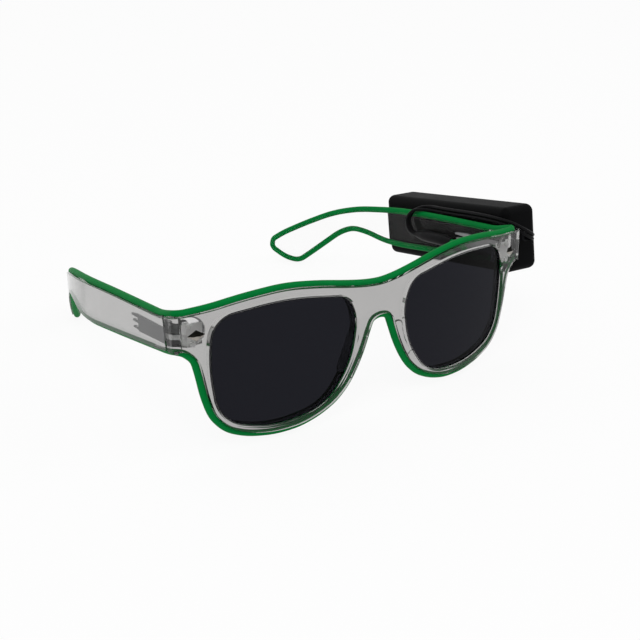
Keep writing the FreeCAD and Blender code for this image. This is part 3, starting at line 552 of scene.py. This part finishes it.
def makeLead(name, step):
    places = [onArm("left", *stop[:3]) for stop in leadRoute]
    curve = bpy.data.curves.new(name, "CURVE")
    curve.dimensions = "3D"
    curve.bevel_depth = lead["diameter"] / 2
    curve.bevel_resolution = lead["round"]
    curve.resolution_u = lead["steps"]
    curve.use_fill_caps = True
    spline = curve.splines.new("NURBS")
    spline.points.add(len(places) - 1)
    for i, (point, stop) in enumerate(zip(spline.points, leadRoute)):
        ahead = (places[min(i + 1, len(places) - 1)] - places[i]).normalized()
        behind = (places[i] - places[max(i - 1, 0)]).normalized()
        way = (ahead + behind).normalized()
        lean = math.radians(stop[3])
        upright = Vector((math.sin(lean), 0, math.cos(lean)))
        offset = (upright - way * upright.dot(way)).normalized()
        point.co = (*(places[i] + offset * step * lead["spacing"]), 1)
    spline.order_u = lead["order"]
    spline.use_endpoint_u = True
    curve.materials.append(finishes["lead_sleeve"])
    piece = bpy.data.objects.new(name + "_strand", curve)
    scene.collection.objects.link(piece)
    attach(piece, "left_arm")
    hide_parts(name)


makeLead("lead_upper", 1)
makeLead("lead_lower", -1)
print("leads laid")


# Geometry node trees with named sizes
class Growth:
    def __init__(self, name, sizes):
        self.tree = bpy.data.node_groups.new(name, "GeometryNodeTree")
        self.socket("Geometry", "INPUT", "NodeSocketGeometry")
        for label, value in sizes.items():
            kind = "NodeSocketInt" if isinstance(value, int) else "NodeSocketFloat"
            self.socket(label, "INPUT", kind).default_value = value
        self.socket("Geometry", "OUTPUT", "NodeSocketGeometry")
        self.sizes = self.tree.nodes.new("NodeGroupInput").outputs

    def socket(self, label, way, kind):
        return self.tree.interface.new_socket(label, in_out=way, socket_type=kind)

    def node(self, kind, inputs):
        made = self.tree.nodes.new(kind)
        for key, value in inputs.items():
            if isinstance(value, bpy.types.NodeSocket):
                self.tree.links.new(value, made.inputs[key])
            else:
                made.inputs[key].default_value = value
        return made.outputs[0]

    def close(self, geometry, material):
        real = self.node("GeometryNodeRealizeInstances", {0: geometry})
        painted = self.node("GeometryNodeSetMaterial", {"Geometry": real, "Material": material})
        self.tree.links.new(painted, self.tree.nodes.new("NodeGroupOutput").inputs[0])

    def grow(self, name, data):
        holder = bpy.data.objects.new(name + "_path", data)
        scene.collection.objects.link(holder)
        modifier = holder.modifiers.new("growth", "NODES")
        modifier.node_group = self.tree
        ready = holder.evaluated_get(bpy.context.evaluated_depsgraph_get())
        mesh = bpy.data.meshes.new_from_object(ready)
        bpy.data.objects.remove(holder)
        piece = bpy.data.objects.new(name, mesh)
        scene.collection.objects.link(piece)
        return piece


# Light wire's free bends over the hinges: a sleeve along a curve between two wire ends. A handle is
# "pull" of the way between the ends. The faces of a wire's end lie within "flat" of one plane, and
# "square" is the least cosine between them and it
bendSizes = {"radius": 0.00115, "sides": 28, "steps": 40, "pull": 0.36, "flat": 1e-5, "square": 0.999}
bends = {"top": {"front": (0.0710, 0.01193, 0.01515), "arm": (0.0092, 0.01297),
                 "ahead": "light_wire_brow",
                 "behind": {"left": "light_wire_arm_left", "right": "light_wire_arm_right"}},
         "low": {"front": (0.0710, 0.01042, 0.00352), "arm": (0.0092, 0.00119),
                 "ahead": "light_wire_rim",
                 "behind": {"left": "light_wire_tail", "right": "light_wire_arm_right"}}}


def sleeveTree():
    g = Growth("lightWireSleeve", {"Radius": bendSizes["radius"], "Sides": bendSizes["sides"]})
    ring = g.node("GeometryNodeCurvePrimitiveCircle", {"Resolution": g.sizes["Sides"],
                                                       "Radius": g.sizes["Radius"]})
    tube = g.node("GeometryNodeCurveToMesh", {"Curve": g.sizes["Geometry"], "Profile Curve": ring,
                                              "Fill Caps": True})
    smooth = g.node("GeometryNodeSetShadeSmooth", {"Geometry": tube})
    g.close(smooth, finishes["light_wire"])
    return g


# Middle and outward way of the flat end of a wire node that lies nearest a place
def wireEnd(name, near):
    shape = mergedShape(name)
    first = min(shape.faces, key=lambda face: (face.calc_center_median() - near).length)
    ring = set()
    for face in shape.faces:
        middle = face.calc_center_median()
        flat = abs((middle - first.calc_center_median()).dot(first.normal)) < bendSizes["flat"]
        square = face.normal.dot(first.normal) > bendSizes["square"]
        if flat and square and (middle - near).length < bendSizes["radius"] * 2:
            ring.update(vert.index for vert in face.verts)
    shape.verts.ensure_lookup_table()
    middle = sum((shape.verts[i].co for i in ring), Vector()) / len(ring)
    way = first.normal.copy()
    shape.free()
    return middle, way


def makeBend(tree, level, word):
    look = bends[level]
    place = Vector(look["front"])
    place.x *= sides[word]
    behind, up = look["arm"]
    start, startWay = wireEnd(look["ahead"], place)
    end, endWay = wireEnd(look["behind"][word], onArm(word, behind, 0.0, up))
    reach = (end - start).length * bendSizes["pull"]
    curve = bpy.data.curves.new("bend", "CURVE")
    curve.dimensions = "3D"
    curve.resolution_u = bendSizes["steps"]
    spline = curve.splines.new("BEZIER")
    spline.bezier_points.add(1)
    for point, middle, before, after in ((spline.bezier_points[0], start, -startWay, startWay),
                                         (spline.bezier_points[1], end, endWay, -endWay)):
        point.co = middle
        point.handle_left = middle + before * reach
        point.handle_right = middle + after * reach
    name = "light_wire_bend_" + level + "_" + word
    piece = tree.grow(name + "_sleeve", curve)
    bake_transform(piece)
    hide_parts(name)
    print(name, "length %.4f" % (end - start).length, len(piece.data.vertices))


sleeve = sleeveTree()
for level in bends:
    for word in sides:
        makeBend(sleeve, level, word)
print("light wire bends made")


# World, floor and lamps
light = {"world": 0.75, "white": (1, 1, 1, 1), "target": (0.0, 0.05, 0.0)}
floorLook = {"height": -0.0313, "half": 3.0, "grey": (0.92, 0.92, 0.92, 1), "shine": 0.9}
lamps = {"keyLamp": {"place": (-0.5, -0.5, 0.9), "size": 0.5, "power": 2.2},
         "fillLamp": {"place": (0.7, -0.4, 0.6), "size": 0.6, "power": 0.9}}


def makeWorld():
    scene.world = bpy.data.worlds.new("world")
    f = Finish("world", scene.world)
    soft = f.node("ShaderNodeBackground", {}, {"Color": light["white"], "Strength": light["world"]})
    plain = f.node("ShaderNodeBackground", {}, {"Color": light["white"], "Strength": 1.0})
    f.close(f.node("ShaderNodeMixShader", {}, {0: f.seen(), 1: soft, 2: plain}),
            "ShaderNodeOutputWorld")


def makeFloor(look):
    mesh = bpy.data.meshes.new("floor")
    half = look["half"]
    corners = [(x, y, look["height"]) for x, y in ((-half, -half), (half, -half), (half, half),
                                                  (-half, half))]
    mesh.from_pydata(corners, [], [(0, 1, 2, 3)])
    floor = bpy.data.objects.new("floor", mesh)
    scene.collection.objects.link(floor)
    f = Finish("floor")
    dull = f.node("ShaderNodeBsdfDiffuse", {}, {"Color": look["grey"]})
    shine = f.node("ShaderNodeEmission", {}, {"Color": light["white"], "Strength": 1.0})
    white = f.seen() * look["shine"]
    mesh.materials.append(f.close(f.node("ShaderNodeMixShader", {}, {0: white, 1: dull, 2: shine})))


def makeLamp(name, look):
    data = bpy.data.lights.new(name, "AREA")
    data.shape = "DISK"
    data.size = look["size"]
    data.energy = look["power"]
    lamp = bpy.data.objects.new(name, data)
    scene.collection.objects.link(lamp)
    way = Vector(light["target"]) - Vector(look["place"])
    turn = way.to_track_quat("-Z", "Y").to_matrix().to_4x4()
    lamp.matrix_world = Matrix.Translation(look["place"]) @ turn


makeWorld()
makeFloor(floorLook)
for name, look in lamps.items():
    makeLamp(name, look)
print("light and floor made")
